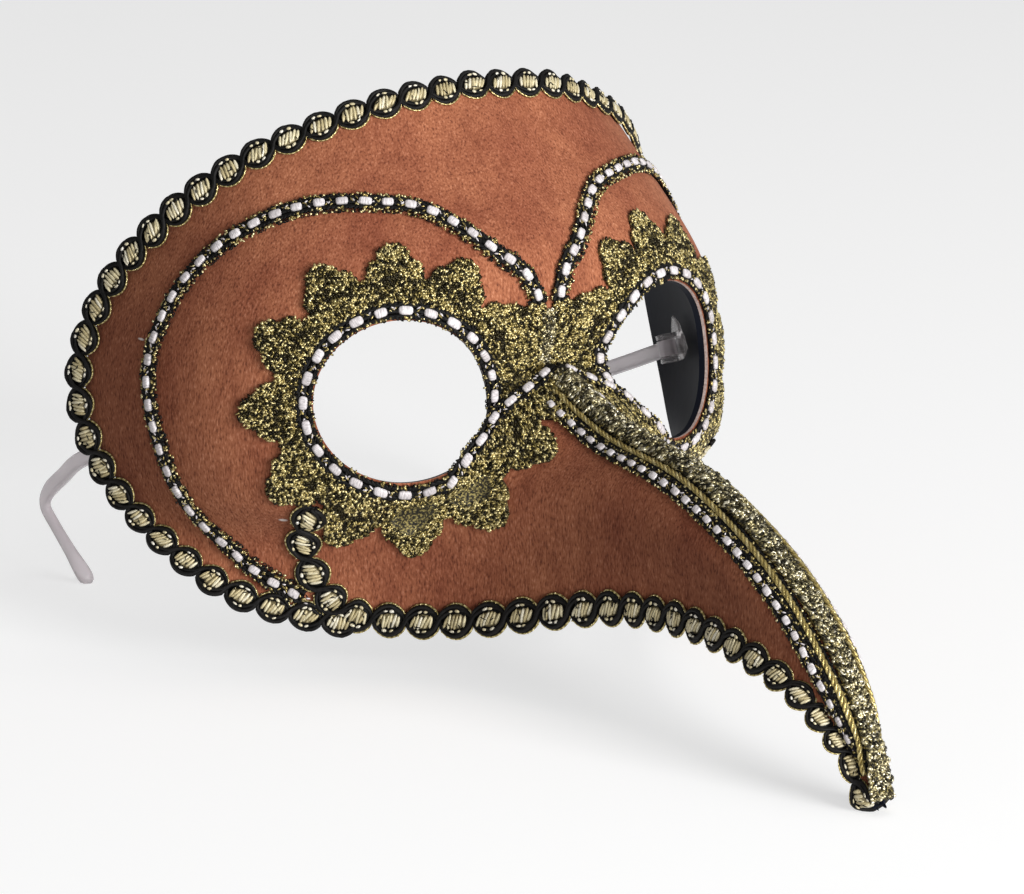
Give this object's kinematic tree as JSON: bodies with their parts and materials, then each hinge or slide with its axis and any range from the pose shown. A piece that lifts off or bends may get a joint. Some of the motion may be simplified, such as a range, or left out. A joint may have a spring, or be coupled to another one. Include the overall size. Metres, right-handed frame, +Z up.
{
  "type": "long-beaked half mask with spectacle arms",
  "caption": "Half mask with a long down-curved beak, a thin shell under velour with braid and metal-thread lace trims, worn on two hinged clear spectacle arms.",
  "frame": {"origin": "on the surface it stands on, below the middle of its whole box", "axes": "+X to the wearer's left, -Y the way the beak points, +Z up as the mask stands on its beak tip and ear hooks"},
  "size_m": [0.1762, 0.2622, 0.1381],
  "materials": {
    "moulded_shell": "satin, near-black blue moulded plastic",
    "velour": "short-pile rust-brown velour",
    "gimp_braid": "black corded gimp with pale gold satin stitches and a yellow metal thread",
    "dashed_braid": "narrow black and gold braid with white satin dashes",
    "gold_cord": "twisted metal-thread cord",
    "gold_lace": "metal-thread crochet lace, antique gold",
    "ridge_lace": "bright metal-thread lace strip",
    "clear_plastic": "milky-clear moulded plastic"
  },
  "bodies": {
    "mask": {"shell": "moulded_shell", "velour_cover": "velour", "rim_braid": "gimp_braid", "beak_braid": "gimp_braid", "ridge_lace": "ridge_lace", "eye_braid_right": "dashed_braid", "eye_braid_left": "dashed_braid", "brow_braid_right": "dashed_braid", "brow_braid_left": "dashed_braid", "beak_side_braid_right": "dashed_braid", "beak_side_braid_left": "dashed_braid", "ridge_cord_right": "gold_cord", "ridge_cord_left": "gold_cord", "eye_lace_right": "gold_lace", "eye_lace_left": "gold_lace", "hinge_plate_right": "clear_plastic", "hinge_plate_left": "clear_plastic"},
    "temple_right": {"temple_arm_right": "clear_plastic"},
    "temple_left": {"temple_arm_left": "clear_plastic"}
  },
  "joints": [
    {"name": "temple_fold_right", "type": "hinge", "parent": "mask", "child": "temple_right", "pos_m": [-0.07179, 0.05221, 0.05603], "axis": [0, -0.3714, -0.9285], "range_deg": [0, 90]},
    {"name": "temple_fold_left", "type": "hinge", "parent": "mask", "child": "temple_left", "pos_m": [0.07179, 0.05221, 0.05603], "axis": [0, 0.3714, 0.9285], "range_deg": [0, 87]}
  ]
}
